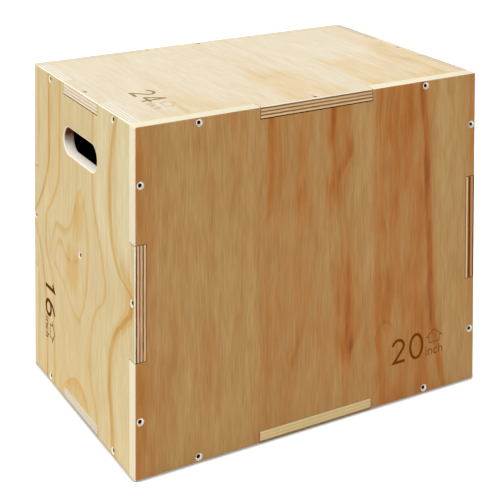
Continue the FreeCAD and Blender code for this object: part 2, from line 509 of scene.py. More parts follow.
# The palette, figure, mottle and grain of each kind of sheet. The sides that the photograph does not show
# carry their kind's figure turned over
KINDS = {"front": "wall", "back": "wall", "left": "end", "right": "end", "top": "deck", "bottom": "deck"}
TURNED_SIDES = ("back", "right", "bottom")
WOODS = {
    "wall": (WARM_WALL, WALL_FIGURE, 0.25, 0.26),
    "end": (PALE_END, END_FIGURE, 0.12, 0.22),
    "deck": (CREAM_DECK, DECK_FIGURE, 0.26, 0.13),
    "brace": (PALE_END, [], 0.2, 0.1),
}
SEED_STEP = 7.3
EDGE_SEED_STEP = 11.0
BRACE_SEED = 7.0
BRACE_EDGE_SEED = 70.0

# Lumps of noise in a veneer, as (width, length along the grain, strength, shift of the seed, detail). The
# strength of bends and ragged ends is in millimetres
LUMPS = {
    "slow bend": (70, 130, 4.0, 0, 2),
    "quick bend": (12, 40, 1.2, 0, 2),
    "long wander": (28, 320, 1.0, 0, 3),
    "short wander": (12, 55, 1.0, 10, 3),
    "patches": (16, 70, 0.7, 20, 2),
    "ragged ends": (5, 300, 40.0, 80, 3),
    "open grain": (22, 60, 1.0, 90, 2),
    "pores": (1.5, 18, 1.0, 60, 2),
    "lines": (2.6, 90, 0.8, 40, 3),
    "bands": (9, 70, 0.5, 50, 2),
    "fibre": (1.4, 28, 1.0, 0, 2),
}
FIGURE_LEVEL = 0.95         # the figure's usual strength between its patches
PLAIN_WARMTH = 0.35         # where plain wood lies on its palette
OPEN_GRAIN = (-0.3, 0.4)    # noise over which the grain opens, and over which a pore shows
OPEN_PORE = (0.28, 0.55)
PORE_SHADE = 0.8
CLOSED_LINES = 0.4          # strength of the lines in closed grain, and what open grain adds to it
OPEN_LINES = 0.9


def veneer_look(start, face, seed, turned, palette, figure, mottle, grain):
    """A sanded face veneer with a thin clear finish, its grain along the sheet's up direction. A turned one
    has its figure upside down."""
    across, up = sheet_place(start, face)[:2]
    if turned:
        across, up = across * -1, up * -1

    def lumps(kind, aside, roughness=0.5):
        width, length, strength, shift, detail = LUMPS[kind]
        slice_at = seed * SEED_STEP + shift
        return start.noise(aside / width, up / length, slice_at, detail, roughness) * strength

    bent = across + lumps("slow bend", across) + lumps("quick bend", across)
    wander = lumps("long wander", bent) + lumps("short wander", bent)
    patchy = lumps("patches", bent) + FIGURE_LEVEL
    ragged = up + lumps("ragged ends", bent)
    streaks = sum(streak_warmth(bent, up, ragged, *streak) for streak in figure)
    warmth = wander * mottle + streaks * patchy + PLAIN_WARMTH
    open_grain = lumps("open grain", bent).rise(*OPEN_GRAIN)
    pores = lumps("pores", bent).rise(*OPEN_PORE) * open_grain
    lines = lumps("lines", bent, roughness=0.6) * (open_grain * OPEN_LINES + CLOSED_LINES)
    fibre = lumps("fibre", bent)
    shade = (lines + fibre + lumps("bands", bent) - pores * PORE_SHADE) * grain
    return {
        "Base Color": shade.shaded(warmth.ramp(palette)), "Roughness": fibre * 0.05 + 0.55,
        "Normal": (fibre - pores).bump(0.25), "Specular IOR Level": 0.3,
    }


# The outermost ply of an edge is near white: the pale wood that sanding bares on the round, lightened
# further as a painted highlight
PALE_RIM_AND_HIGHLIGHT = colour(255, 246, 222)
CROSS_PLY = colour(104, 50, 16)
GLUE_LINE = colour(70, 30, 8)
# Joint walls take a dark brown that paints the shade in the gaps between the sheets
SHADED_JOINT_WOOD = (colour(128, 66, 22), colour(156, 88, 38))
# The sheets' inner faces are near black: painted shade for the box's inside, seen through the hand holes
PAINTED_SHADE_INSIDE = (colour(40, 20, 8), colour(66, 36, 16))
CUT_WOOD = (colour(246, 234, 212), colour(255, 251, 240))
GRIP_SHADE_TONE = colour(124, 56, 20)

# The colour of pale plies, how plainly the brown ones show, and any plies from the outermost on with
# colours of their own, on a sheet's side edges and on its end edges
TAN_PLY = colour(156, 100, 52)
PINK_PLY = colour(216, 156, 98)
PALE_PLY = colour(250, 214, 160)
EDGES = {
    "front_wall": ((colour(249, 238, 206), 0.1), (colour(248, 239, 209), 0.06)),
    "back_wall": ((colour(231, 214, 175), 0.15), (colour(238, 226, 201), 0.15)),
    "left_end": ((colour(255, 211, 160), 0.9), (colour(251, 242, 224), 0.25)),
    "right_end": ((PINK_PLY, 0.5, [TAN_PLY, CROSS_PLY, PINK_PLY, PINK_PLY, CROSS_PLY, TAN_PLY, PALE_PLY]),
                  (colour(230, 213, 187), 0.25)),
    "top_deck": ((colour(252, 234, 204), 0.4), (colour(255, 212, 158), 0.82)),
    # The bottom deck's outermost plies on its end edges are dark brown: painted shade on the tab's lower
    # round, which faces the floor
    "bottom_deck": ((colour(228, 217, 196), 0.15, [colour(182, 169, 144), colour(191, 179, 154)]),
                    (colour(252, 226, 168), 0.15, [colour(84, 50, 24), colour(180, 138, 80)])),
}
BRACE_EDGE = (colour(244, 222, 180), 0.5)

# Scorched wood, darkest and lightest, and how much fainter the small marks are
BURNS = {
    "front": (colour(124, 64, 8), colour(146, 82, 18), 0.35),
    "left": (colour(92, 44, 12), colour(118, 66, 26), 0.2),
    "top": (colour(156, 122, 72), colour(184, 150, 98), 0.75),
}

# Lumps of noise in an edge, as (length, depth, strength, detail). Waver and ripple are in millimetres
EDGE_LUMPS = {
    "waver": (26, 9, 0.5, 2),
    "ripple": (7, 4, 0.25, 2),
    "wear": (45, 4, 1.0, 2),
    "breaks": (16, 1 / 2, 0.8, 2),
    "grain": (8, 1 / 3, 1.0, 4),
}
PLY_WEAR = (0.1, 0.5)       # noise over which the plies wear to one tone, how far they do, and that tone
PLY_WEAR_MOST = 0.7
WORN_BROWN = 0.45
GLUE_HALF = (0.1, 0.3)      # from the middle of a glue line, where it starts to fade and where it ends
GLUE_KEPT = 0.6
GLUE_WEAR = (0.05, 0.4)     # noise over which glue wears away, and how much of it does
GLUE_WEAR_MOST = 0.4
EDGE_GRAIN = 0.05           # shade of the grain on a pale edge, and what a plain brown adds to it
BROWN_GRAIN = 0.12

# Bare wood in cuts and joints, the joints darkened as painted shade, and the painted shade over the upper,
# deeper part of a hand hole's wall
FLECK_STOPS = (0.3, 0.7)
WOOD_FLECKS = 700.0         # in one metre
CUT_SHINE = 0.2
GRIP_TONE = 0.7             # how far the wall lies towards the lighter cut wood
GRIP_FLECK = 3.0
GRIP_SHADE_RAGGED = 3.0
GRIP_SHADE_HEIGHT = (-14.0, 8.0)
GRIP_SHADE_DEPTH = (0.5, 3.0)


def glue_depths():
    """Depths of the glue lines below the sheet's outer face."""
    thicknesses = [thickness for thickness, brownness in PLIES]
    return [sum(thicknesses[:count]) for count in range(1, len(PLIES))]


def ply_edge_look(start, face, seed, pale, strength, rims=(PALE_RIM_AND_HIGHLIGHT,)):
    """The sanded edge of a sheet: pale plies, the outermost of tones of their own, and browner ones between
    dark glue lines that waver and wear away in places."""
    across, up, depth = sheet_place(start, face)

    def lumps(kind):
        length, deep, amount, detail = EDGE_LUMPS[kind]
        return start.noise(across / length, up / length, depth / deep + seed, detail) * amount

    wavy = depth + lumps("waver") + lumps("ripple")
    worn = lumps("wear")
    begins = [begin / PLY for begin in [0.0, *glue_depths()]]
    tints = []
    for browns in ([brownness for thickness, brownness in PLIES], [WORN_BROWN] * len(PLIES)):
        tones = [blend(pale, CROSS_PLY, brown * strength) for brown in browns]
        tones[:len(rims)] = rims
        tints.append((wavy / PLY).ramp(list(zip(begins, tones)), "CONSTANT"))
    tint = (worn.rise(*PLY_WEAR) * PLY_WEAR_MOST).mix(*tints)
    glue = sum(1 - abs(wavy - line).rise(*GLUE_HALF) for line in glue_depths())
    kept = lumps("breaks") + GLUE_KEPT - worn.rise(*GLUE_WEAR) * GLUE_WEAR_MOST
    tint = (glue * kept).mix(tint, blend(pale, GLUE_LINE, strength))
    grain = lumps("grain")
    base = (grain * (EDGE_GRAIN + BROWN_GRAIN * strength)).shaded(tint)
    return {
        "Base Color": base, "Roughness": grain * 0.05 + 0.65, "Normal": grain.bump(0.3),
        "Specular IOR Level": 0.05,
    }


def flecks(start, scale, dark, light):
    """Fine noise from 0 to 1, and a colour that follows it from dark to light."""
    place = start.node("ShaderNodeTexCoord", output="Object")
    level = start.node("ShaderNodeTexNoise", {}, {"Vector": place, "Scale": scale, "Detail": 3.0})
    return level, level.ramp(list(zip(FLECK_STOPS, (dark, light))))


def rough_look(start, dark, light, shine=0.0):
    """Bare or burnt wood."""
    base = flecks(start, WOOD_FLECKS, dark, light)[1]
    return {"Base Color": base, "Roughness": 0.7, "Specular IOR Level": shine}


def grip_look(start, face):
    """The hand hole's wall, with painted shade over its upper part, the deeper into the hole the more."""
    across, up, depth = sheet_place(start, face)
    fleck = start.noise(across / GRIP_FLECK, up / GRIP_FLECK, depth / GRIP_FLECK)
    # Painted shade: the wall darkens towards its upper part and deeper into the hole
    above = up - (HAND_HOLE_MIDDLE - face.middle.dot(face.up)) + fleck * GRIP_SHADE_RAGGED
    painted_grip_shade = above.rise(*GRIP_SHADE_HEIGHT) * depth.rise(*GRIP_SHADE_DEPTH)
    base = painted_grip_shade.mix(blend(*CUT_WOOD, GRIP_TONE), GRIP_SHADE_TONE)
    return {"Base Color": base, "Roughness": 0.7, "Specular IOR Level": 0.05}


# Sheets of plywood

def eased(depth, radius):
    """How far a rounded edge has drawn in, at a depth below the face that it rounds to."""
    if depth >= radius:
        return 0.0
    return radius - math.sqrt(radius ** 2 - (radius - max(depth, 0.0)) ** 2)


def arc_depths(radius):
    """Depths of the rings that make a rounded edge."""
    return [radius * (1 - math.cos(math.pi / 2 * step / ROUND_STEPS)) for step in range(ROUND_STEPS + 1)]


def drawn_in(on_rim, depth):
    """How far a side of a sheet lies inside its outline at a depth below the outer face."""
    back = eased(PLY - depth, JOINT_EASE)
    if not on_rim:
        return eased(depth, JOINT_EASE) + back
    ply = sum(line < depth for line in glue_depths())
    return eased(depth, EDGE_ROUND) + back + (BROWN_PLY_BACK if PLIES[ply][1] > BROWN_PLY else 0.0)


def ring_depths(depths):
    """Depths in order, each of them once."""
    return sorted({round(depth, DEPTH_DIGITS) for depth in depths})


def side_depths():
    """Depths of all the rings down a sheet's sides."""
    rings = arc_depths(EDGE_ROUND) + arc_depths(JOINT_EASE) + [FACE_WEAR, RIGHT_SHADE_REACH]
    rings += [PLY - depth for depth in arc_depths(JOINT_EASE)]
    for line in glue_depths():
        rings += [line - PLY_STEP / 2, line + PLY_STEP / 2]
    return ring_depths(rings)


def outline_at(face, corners, depth):
    """A sheet's outline at one depth, each corner an arc."""
    line = []
    for k, corner in enumerate(corners):
        before, after = corners[k - 1], corners[(k + 1) % len(corners)]
        came, goes = (corner - before).normalized(), (after - corner).normalized()
        rims = face.on_rim(before, corner), face.on_rim(corner, after)
        drawn = [drawn_in(rim, depth) for rim in rims]
        place = corner + Vector((-came.y, came.x)) * drawn[0] + Vector((-goes.y, goes.x)) * drawn[1]
        radius = max(EDGE_ROUND - drawn[0], 0.0) if all(rims) else JOINT_EASE
        centre = place + (goes - came) * radius
        for step in range(CORNER_STEPS + 1):
            turn = math.pi / 2 * step / CORNER_STEPS
            line.append(centre - goes * radius * math.cos(turn) + came * radius * math.sin(turn))
    return line


def hand_hole_at(middle, depth):
    """The hand hole's outline at one depth, clockwise."""
    radius = HAND_HOLE_HEIGHT / 2 + eased(depth, HAND_HOLE_ROUND) + eased(PLY - depth, HAND_HOLE_ROUND)
    reach = (HAND_HOLE_WIDTH - HAND_HOLE_HEIGHT) / 2
    line = arc((reach, middle), radius, radius, 90, -90, HAND_HOLE_STEPS)
    line += arc((-reach, middle), radius, radius, -90, -270, HAND_HOLE_STEPS)
    return [Vector(point) for point in line]


def circle(middle, radius, steps):
    """A clockwise circle."""
    turns = [-2 * math.pi * step / steps for step in range(steps)]
    return [middle + Vector((math.cos(turn), math.sin(turn))) * radius for turn in turns]


def stepped_outline(half_across, half_up, across_step, up_step):
    """Corners of a rectangle with a step in the middle of each side, counterclockwise.

    A step is half its length and how far it stands out, less than nothing for a notch. The one in the
    sides that run across gives that for the upper side and for the lower one.
    """
    half_tab, *rises = across_step
    half_tongue, reach = up_step
    far_across = half_across + reach
    corners = []
    for turn, rise in zip((1, -1), rises):
        far_up = half_up + rise
        half = [(half_across, -half_up), (half_across, -half_tongue), (far_across, -half_tongue),
                (far_across, half_tongue), (half_across, half_tongue),
                (half_across, half_up), (half_tab, half_up), (half_tab, far_up),
                (-half_tab, far_up), (-half_tab, half_up)]
        corners += [Vector(corner) * turn for corner in half]
    return corners


def turns_left(line):
    """Whether a closed line runs counterclockwise."""
    return sum(line[k - 1].cross(point) for k, point in enumerate(line)) > 0


def filled(points, areas):
    """Triangles between lines, given by the numbers of their points, and the areas that each one is in."""
    points, _, triangles, _, _, within = delaunay_2d_cdt(points, [], areas, 0, NO_LENGTH)
    return points, triangles, within


class Sheet:
    """A sheet's mesh, gathered ring by ring on one side of the box."""

    VENEER, SIDE_EDGE, END_EDGE, CUT, JOINT, INSIDE, GRIP, BURNT, FAINT = range(9)

    def __init__(self, face, sunk=0.0, right_shade_reach=FACE_WEAR):
        self.face = face
        self.sunk = sunk
        self.right_shade_reach = right_shade_reach
        self.points = []
        self.faces = []
        self.finishes = []
        self.smooth = []

    def add_points(self, line, depth):
        first = len(self.points)
        self.points += [self.face.point(flat, depth + self.sunk) for flat in line]
        return range(first, len(self.points))

    def add_faces(self, faces, finishes, smooth):
        self.faces += faces
        self.finishes += finishes
        self.smooth += [smooth] * len(faces)

    def walls(self, line_at, depths, finish=None):
        """Join the lines that line_at gives at each depth. Without a finish, it follows the sheet's edges:
        those that run up the sheet are side edges, those across it are end edges, and below their eased rim
        those inside the box's outline are joints."""
        line = line_at(PLY / 2)
        count = len(line)
        runs = [line[(i + 1) % count] - line[i] for i in range(count)]
        edges = [self.END_EDGE if abs(run.x) > abs(run.y) else self.SIDE_EDGE for run in runs]
        # On a wall's right edge the veneer colour reaches further into the round as painted shade
        veneer_reaches = [self.right_shade_reach if run.y > abs(run.x) else FACE_WEAR for run in runs]
        rims = [self.face.on_rim(line[i], line[(i + 1) % count], EDGE_ROUND) for i in range(count)]
        rings = [self.add_points(line_at(depth), depth) for depth in depths]
        for upper, lower, above, below in zip(rings, rings[1:], depths, depths[1:]):
            quads = [(upper[i], lower[i], lower[(i + 1) % count], upper[(i + 1) % count])
                     for i in range(count)]
            inside = above >= JOINT_EASE
            # Joint walls, below the eased rim and inside the box's outline, get the dark joint finish:
            # painted shade in the gaps
            finishes = [self.VENEER if below <= wear or above >= PLY - FACE_WEAR
                        else edge if rim or not inside else self.JOINT
                        for edge, wear, rim in zip(edges, veneer_reaches, rims)]
            self.add_faces(quads, finishes if finish is None else [finish] * count, True)

    def cap(self, lines, depth, outward):
        """Fill the outer or the inner face between closed lines, with holes and the islands in them."""
        flat = [point for line in lines for point in line]
        areas, first = [], 0
        for line in lines:
            area = list(range(first, first + len(line)))
            areas.append(area if turns_left(line) else area[::-1])
            first += len(line)
        points, triangles, within = filled(flat, areas)
        triangles = [triangle for triangle, around in zip(triangles, within) if len(around) % 2]
        numbers = self.add_points(points, depth)
        order = 1 if outward else -1
        # The inner face takes the inside finish, painted shade for the box's inside
        self.add_faces([[numbers[i] for i in triangle[::order]] for triangle in triangles],
                       [self.VENEER if outward else self.INSIDE] * len(triangles), False)

    def object(self, name, materials):
        mesh = bpy.data.meshes.new(name)
        mesh.from_pydata(self.points, [], self.faces)
        mesh.polygons.foreach_set("material_index", self.finishes)
        mesh.polygons.foreach_set("use_smooth", self.smooth)
        merged = bmesh.new()
        merged.from_mesh(mesh)
        bmesh.ops.remove_doubles(merged, verts=merged.verts, dist=SAME_PLACE * MM)
        bmesh.ops.dissolve_degenerate(merged, edges=merged.edges, dist=NO_LENGTH * MM)
        merged.to_mesh(mesh)
        merged.free()
        mesh.set_sharp_from_angle(angle=SHARP_EDGE)
        for material in materials:
            mesh.materials.append(material)
        return add_object(name, mesh)


def screw_nodes(side):
    """Names of the frame's screws whose heads are on a side."""
    return [name for name in sorted(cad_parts) if "_screw" in name and name.startswith(side + "_")]


def screw_place(side, node):
    """The (across, up) of a screw on its side of the box."""
    low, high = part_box(node)
    return FACES[side].flat((low + high) / 2)


def make_sheet(name, face, corners, materials, sunk=0.0, right_shade_reach=FACE_WEAR, screws=(), hand_hole=False,
               mark=None):
    """A sheet with its outline, screw holes, hand hole and mark."""
    sheet = Sheet(face, sunk, right_shade_reach)
    outer, inner = [], []

    def cut(line_at, depths, finish=None):
        sheet.walls(line_at, depths, finish)
        outer.append(line_at(depths[0]))
        inner.append(line_at(depths[-1]))

    cut(lambda depth: outline_at(face, corners, depth), side_depths())
    for middle in screws:
        rings = {depth: circle(middle, radius, SCREW_HOLE_STEPS) for depth, radius in SCREW_HOLE}
        cut(lambda depth: rings.get(depth, rings[PLY]), list(rings), sheet.CUT)
    if hand_hole:
        level = HAND_HOLE_MIDDLE - face.middle.dot(face.up)
        rim = arc_depths(HAND_HOLE_ROUND)
        depths = ring_depths(rim + [PLY - depth for depth in rim])
        cut(lambda depth: hand_hole_at(level, depth), depths, sheet.GRIP)
    if mark:
        figures, corner, turned, weight = mark
        outer += burn(sheet, figure_lines(figures, weight), corner, turned, sheet.BURNT)
        outer += burn(sheet, unit_lines(weight), corner, turned, sheet.FAINT)
    sheet.cap(outer, 0.0, True)
    sheet.cap(inner, PLY, False)
    return sheet.object(name, materials)


# Height marks

def arc(middle, half_width, half_height, start, end, steps=24):
    """Points along an ellipse between two angles in degrees."""
    turns = [math.radians(start + (end - start) * step / steps) for step in range(steps + 1)]
    return [(middle[0] + half_width * math.cos(turn), middle[1] + half_height * math.sin(turn))
            for turn in turns]


# Lines that the marking tool follows for each figure, 27 wide and 41.5 high with its line
FIGURES = {
    "0": [arc((13.5, 20.7), 11.8, 19.0, 0, 360, 40)],
    "1": [[(4.5, 31.5), (14.0, 39.0), (14.0, 0.0)]],
    "2": [arc((13.0, 28.2), 10.6, 9.9, 172, -32) + [(4.6, 3.0), (26.0, 3.0)]],
    "4": [[(18.5, 0.0), (18.5, 41.0)], [(18.9, 40.4), (1.6, 11.5)], [(0.2, 11.5), (26.5, 11.5)]],
    "6": [arc((13.5, 12.9), 11.6, 11.2, 0, 360, 36), arc((21.0, 12.9), 19.1, 26.6, 180, 96)],
}
FIGURE_STEP = 34.8
LETTERS = [
    [(1.0, 0.0), (1.0, 10.2)],
    [(1.0, 12.8), (1.0, 14.6)],
    [(6.0, 0.0), (6.0, 10.2)],
    arc((9.4, 6.0), 3.4, 3.4, 180, 0, 12) + [(12.8, 0.0)],
    arc((20.2, 4.9), 4.0, 4.2, 50, 310, 18),
    [(27.0, 0.0), (27.0, 14.8)],
    arc((30.0, 6.0), 3.0, 3.4, 180, 0, 12) + [(33.0, 0.0)],
]
LETTERS_PLACE = (66.7, 0.2)
ARROW = [(6.0, 0.6), (26.5, 0.6), (26.5, 10.0), (31.6, 10.0), (16.2, 21.4), (0.6, 10.0), (6.0, 10.0),
         (6.0, 0.6)]
ARROW_PLACE = (67.6, 19.5)


def stroke(line, width):
    """The two sides of a line of some width, as (left, right) pairs. A closed line ends where it starts."""
    points = [Vector(point) for point in line]
    closed = (points[0] - points[-1]).length < NO_LENGTH
    if closed:
        points.pop()
    count = len(points)
    pairs = []
    for k, point in enumerate(points):
        came = (point - points[k - 1]).normalized() if k or closed else None
        goes = (points[(k + 1) % count] - point).normalized() if k + 1 < count or closed else None
        came, goes = came or goes, goes or came
        aside = Vector((-came.y - goes.y, came.x + goes.x)).normalized()
        aside *= width / 2 / aside.dot(Vector((-came.y, came.x)))
        pairs.append((point + aside, point - aside))
    return pairs + pairs[:1] if closed else pairs


def moved(lines, right, above, width):
    """Lines moved to a place, each with its width."""
    return [([(x + right, y + above) for x, y in line], width) for line in lines]


def figure_lines(figures, weight):
    """The lines of a row of figures."""
    width = FIGURE_LINE * weight
    rows = [moved(FIGURES[figure], k * FIGURE_STEP, 0.0, width) for k, figure in enumerate(figures)]
    return sum(rows, [])


def unit_lines(weight):
    """The lines of the arrow and the unit that stand beside the figures."""
    arrow = moved([ARROW], *ARROW_PLACE, ARROW_LINE * weight)
    return arrow + moved(LETTERS, *LETTERS_PLACE, LETTER_LINE * weight)


def boundary_lines(points, triangles):
    """The closed lines round a flat area made of triangles, with the area on their right."""
    sides = {(t[k], t[(k + 1) % 3]) for t in triangles for k in range(3)}
    onward = {second: first for first, second in sides if (second, first) not in sides}
    lines = []
    while onward:
        start, at = onward.popitem()
        line = [start]
        while at != start:
            line.append(at)
            at = onward.pop(at)
        lines.append([points[i] for i in line])
    return lines


def burn(sheet, lines, corner, turned, finish):
    """Burn lines of some width into a sheet and return the outlines that they leave in the face."""
    flat, quads = [], []
    for line, width in lines:
        pairs = stroke(line, width)
        first = len(flat)
        for left, right in pairs:
            flat += [left, right]
        quads += [(k + 1, k + 3, k + 2, k) for k in range(first, first + 2 * len(pairs) - 2, 2)]
    points, triangles, within = filled(flat, quads)
    triangles = [triangle for triangle, around in zip(triangles, within) if around]
    if turned:
        points = [Vector((point.y, -point.x)) for point in points]
    points = [point + Vector(corner) for point in points]
    numbers = sheet.add_points(points, MARK_DEPTH)
    sheet.add_faces([[numbers[i] for i in triangle] for triangle in triangles],
                    [finish] * len(triangles), False)
    outlines = boundary_lines(points, triangles)
    for outline in outlines:
        sheet.walls(lambda depth: outline, [0.0, MARK_DEPTH], finish)
    return outlines


def sheet_outlines():
    """Corners of each kind of sheet: walls with notches, ends with notches and tabs, decks with tabs."""
    half_length, half_depth, half_height = BOX_HALF
    long_half, deep_half, high_half = TAB_ALONG_LENGTH / 2, TAB_ALONG_DEPTH / 2, TAB_ALONG_HEIGHT / 2
    notches = (-PLY - TOP_PLAY, -PLY - BOTTOM_PLAY)
    return {
        "wall": stepped_outline(half_length, half_height, (long_half, *notches),
                                (high_half, -PLY - NOTCH_PLAY)),
        "end": stepped_outline(half_depth - PLY, half_height, (deep_half, *notches),
                               (high_half - TAB_PLAY, PLY)),
        "deck": stepped_outline(half_length - PLY, half_depth - PLY, (long_half - TAB_PLAY, PLY, PLY),
                                (deep_half - TAB_PLAY, PLY)),
    }


def sheet_materials(name, side, kind, seed, bare_wood):
    """The finishes of a sheet, in the order that Sheet numbers them."""
    face, wood = FACES[side], WOODS[kind]
    materials = [new_material(name + "_veneer", veneer_look, face, seed, side in TURNED_SIDES, *wood)]
    for edge, tones in zip(("side", "end"), EDGES[name]):
        look = (ply_edge_look, face, seed * EDGE_SEED_STEP, *tones)
        materials.append(new_material(f"{name}_{edge}_edge", *look))
    materials += [*bare_wood, new_material(name + "_grip", grip_look, face)]
    if side in BURNS:
        *burn_tones, faintness = BURNS[side]
        plain = dict(wood[0])[PLAIN_WARMTH]
        faint = [blend(tone, plain, faintness) for tone in burn_tones]
        materials.append(new_material(name + "_burn", rough_look, *burn_tones))
        materials.append(new_material(name + "_faint_burn", rough_look, *faint))
    return materials


def make_sheets():
    """The six tabbed sheets of the box."""
    bare_wood = [new_material("cut_wood", rough_look, *CUT_WOOD, CUT_SHINE),
                 new_material("shaded_joint_wood", rough_look, *SHADED_JOINT_WOOD),
                 new_material("painted_shade_inside", rough_look, *PAINTED_SHADE_INSIDE)]
    outlines = sheet_outlines()
    for seed, (side, kind) in enumerate(KINDS.items(), start=1):
        name = f"{side}_{kind}"
        materials = sheet_materials(name, side, kind, seed, bare_wood)
        screws = [screw_place(side, node) for node in screw_nodes(side)]
        # Walls carry the deeper veneer on their right round, painted shade there
        wear = RIGHT_SHADE_REACH if kind == "wall" else FACE_WEAR
        piece = make_sheet(name, FACES[side], outlines[kind], materials, right_shade_reach=wear, screws=screws,
                           hand_hole=kind == "end", mark=MARKS.get(side))
        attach(piece, "root")
        node = f"{side}_end_panel" if kind == "end" else f"{side}_panel"
        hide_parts(node)


def make_brace():
    """The plate across the middle of the box."""
    face = FACES["top"]
    half_across = (brace_high.x - brace_low.x) / 2 / MM
    half_up = (brace_high.y - brace_low.y) / 2 / MM
    corners = [Vector(corner) for corner in ((half_across, -half_up), (half_across, half_up),
                                             (-half_across, half_up), (-half_across, -half_up))]
    veneer = new_material("brace_veneer", veneer_look, face, BRACE_SEED, False, *WOODS["brace"])
    edge = new_material("brace_edge", ply_edge_look, face, BRACE_EDGE_SEED, *BRACE_EDGE)
    finishes = (veneer, edge, edge, edge, edge, veneer)
    piece = make_sheet("inner_brace", face, corners, finishes, sunk=BRACE_SUNK)
    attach(piece, "root")
    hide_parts("center_brace")


# Screws

ZINC = (colour(172, 167, 156), colour(228, 222, 208))
ZINC_FLECKS = 600.0         # in one metre
# The socket is painted black: painted shade inside the hex socket
SOCKET_SHADE_BLACK = colour(12, 8, 4)


def zinc_look(start):
    """Bright zinc plate, with the socket painted black as its shade."""
    recess = start.node("ShaderNodeAttribute", {"attribute_name": "recess"}, output="Fac")
    cloud, plate = flecks(start, ZINC_FLECKS, *ZINC)
    base = recess.mix(plate, SOCKET_SHADE_BLACK)
    return {"Base Color": base, "Metallic": 1 - recess, "Roughness": cloud * 0.2 + 0.24 + recess * 0.4}


def hexagon_place(start):
    """Positions that press a circle as wide as the socket's flats out to a hexagon."""
    place = start.node("GeometryNodeInputPosition")
    x = place.node("ShaderNodeSeparateXYZ", {}, {"Vector": place})
    turn = x.math("ARCTAN2", x.other("Y"), x)
    sector = turn.math("FLOORED_MODULO", turn, HEXAGON_STEP) - HEXAGON_STEP / 2
    stretch = 1 / sector.math("COSINE", sector)
    return place.stretched(start.vector(stretch, stretch, 1.0))


def one_screw(start, size):
    """A screw from its point up, with its head's rim at the height of the origin."""
    head, bevel = size["Head Diameter"] / 2, size["Head Bevel"]
    shoulder, core = size["Shoulder Diameter"] / 2, size["Core Diameter"] / 2
    cone = head - shoulder
    grip = size["Screw Length"] - size["Point Length"] - size["Shoulder Length"] - cone - size["Head Rim"]
    mesh = start.node("GeometryNodeMeshCone", {"fill_type": "NGON"}, {
        "Vertices": SCREW_SIDES, "Radius Top": core, "Radius Bottom": 0.0, "Depth": size["Point Length"]})
    top, side = mesh.other("Top"), None

    def draw(rise, widen=None):
        """Draw the top face up by a length, and widen or narrow it by a factor."""
        nonlocal mesh, top, side
        mesh = start.node("GeometryNodeExtrudeMesh", {"mode": "FACES"}, {
            "Mesh": mesh, "Selection": top, "Offset Scale": rise, "Individual": False})
        top, side = mesh.other("Top"), mesh.other("Side")
        if widen is not None:
            mesh = start.node("GeometryNodeScaleElements", {"domain": "FACE"}, {
                "Geometry": mesh, "Selection": top, "Scale": widen})

    def lifted(geometry, height):
        return start.node("GeometryNodeTransform", {}, {
            "Geometry": geometry, "Translation": start.vector(z=height)})

    draw(grip)
    draw(0.0, shoulder / core)
    draw(size["Shoulder Length"])
    draw(cone, head / shoulder)
    draw(size["Head Rim"] - bevel)
    draw(bevel, (head - bevel) / head)
    mouth = size["Socket Width"] / 2 + size["Socket Mouth"]
    draw(size["Head Dish"] * -1, mouth / (head - bevel))
    draw(size["Socket Mouth"] * -1, size["Socket Width"] / 2 / mouth)
    chamfer = side
    mesh = start.node("GeometryNodeSetPosition", {}, {
        "Geometry": mesh, "Selection": top, "Position": hexagon_place(start)})
    draw(size["Socket Depth"] * -1)
    # The socket's faces are marked so the plate shader paints them black as their shade
    shaft = start.node("GeometryNodeStoreNamedAttribute", {"data_type": "FLOAT", "domain": "FACE"}, {
        "Geometry": mesh, "Name": "recess", "Value": top | side | chamfer})
    spiral = start.node("GeometryNodeCurveSpiral", {}, {
        "Resolution": THREAD_STEPS, "Rotations": THREAD_TURNS, "Start Radius": core, "End Radius": core,
        "Height": grip})
    ridge = start.node("GeometryNodeCurvePrimitiveCircle", {}, {
        "Resolution": THREAD_SIDES, "Radius": size["Thread Depth"]})
    thread = start.node("GeometryNodeCurveToMesh", {}, {
        "Curve": spiral, "Profile Curve": ridge, "Fill Caps": True})
    parts = [shaft, lifted(thread, size["Point Length"])]
    whole = start.node("GeometryNodeJoinGeometry", {}, {"Geometry": parts})
    return lifted(whole, size["Screw Length"] * -1)


def screw_tree(material):
    """A tree that puts a screw at each point, its head towards the point's outward direction."""
    tree = bpy.data.node_groups.new("screws", "GeometryNodeTree")
    for way in ("INPUT", "OUTPUT"):
        tree.interface.new_socket("Geometry", in_out=way, socket_type="NodeSocketGeometry")
    for name in SCREW_SIZES:
        tree.interface.new_socket(name, in_out="INPUT", socket_type="NodeSocketFloat")
    start = Signal(tree)
    points = start.node("NodeGroupInput", output="Geometry")
    screw = one_screw(start, {name: points.other(name) for name in SCREW_SIZES})
    outward = start.node("GeometryNodeInputNamedAttribute", {"data_type": "FLOAT_VECTOR"},
                         {"Name": "outward"})
    turn = start.node("FunctionNodeAlignRotationToVector", {"axis": "Z"}, {"Vector": outward})
    spin = start.node("FunctionNodeRandomValue", {"data_type": "FLOAT"},
                      {2: 0.0, 3: 2 * math.pi, "Seed": SPIN_SEED}, output=1)
    spin = start.node("FunctionNodeAxisAngleToRotation", {}, {"Axis": (0, 0, 1), "Angle": spin})
    turn = start.node("FunctionNodeRotateRotation", {"rotation_space": "LOCAL"},
                      {"Rotation": turn, 1: spin})
    placed = start.node("GeometryNodeInstanceOnPoints", {}, {
        "Points": points, "Instance": screw, "Rotation": turn})
    real = start.node("GeometryNodeRealizeInstances", {}, {"Geometry": placed})
    plated = start.node("GeometryNodeSetMaterial", {}, {"Geometry": real, "Material": material})
    start.node("NodeGroupOutput", {}, {"Geometry": plated})
    return tree


